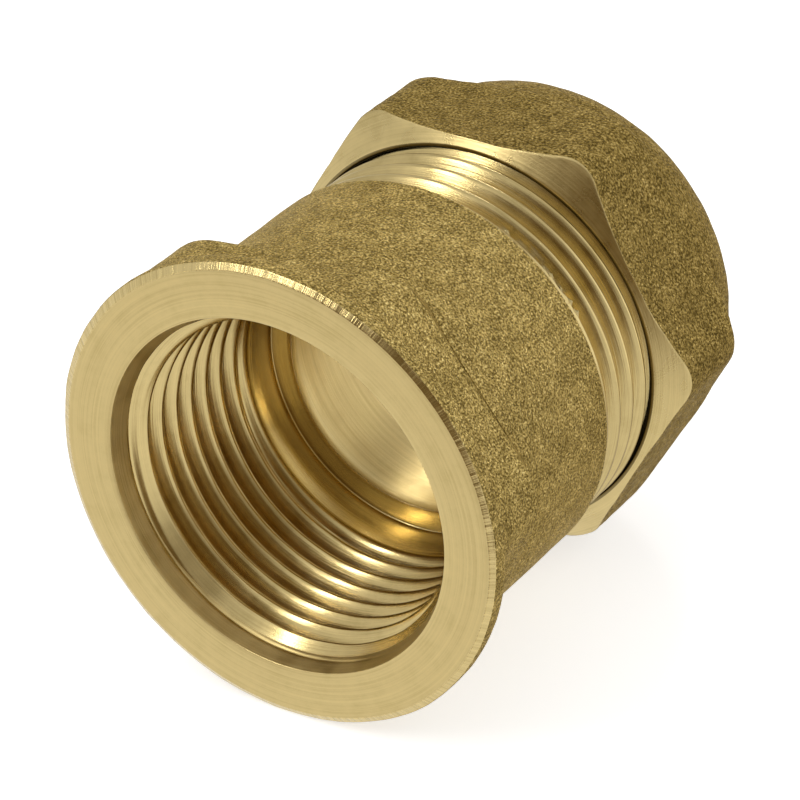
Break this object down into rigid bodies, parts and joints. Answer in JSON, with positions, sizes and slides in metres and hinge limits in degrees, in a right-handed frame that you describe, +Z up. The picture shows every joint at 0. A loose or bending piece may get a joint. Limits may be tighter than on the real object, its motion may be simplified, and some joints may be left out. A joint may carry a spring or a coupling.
{
  "type": "compression union fitting",
  "caption": "Straight brass union fitting: female threaded socket with a spanner collar at one end, compression nut and olive for plain pipe at the other.",
  "frame": {"origin": "under the middle of the fitting, on the plane it rests on when it lies on its side", "axes": "+Y along the fitting's axis from the threaded end to the compression end, +Z up, +X across"},
  "size_m": [0.035, 0.04, 0.035],
  "materials": {
    "body_brass": "grit-blasted forging with machined face, bore and thread",
    "nut_brass": "grit-blasted forging with machined front cone and bore",
    "olive_brass": "turned, smooth"
  },
  "bodies": {
    "body": {"fitting_body": "body_brass"},
    "olive": {"olive": "olive_brass"},
    "nut": {"compression_nut": "nut_brass"}
  },
  "joints": [
    {"name": "olive_slide", "type": "slide", "parent": "body", "child": "olive", "axis": [0, 1, 0], "range_m": [-0.00092, 0.00908]},
    {"name": "nut_turn", "type": "hinge", "parent": "olive", "child": "nut", "pos_m": [0, 0, 0.01748], "axis": [0, 1, 0], "range_deg": [-180, 1800]}
  ],
  "couplings": [
    {"joint": "olive_slide", "follows": "nut_turn", "m_per_rad": 0.00028871}
  ]
}
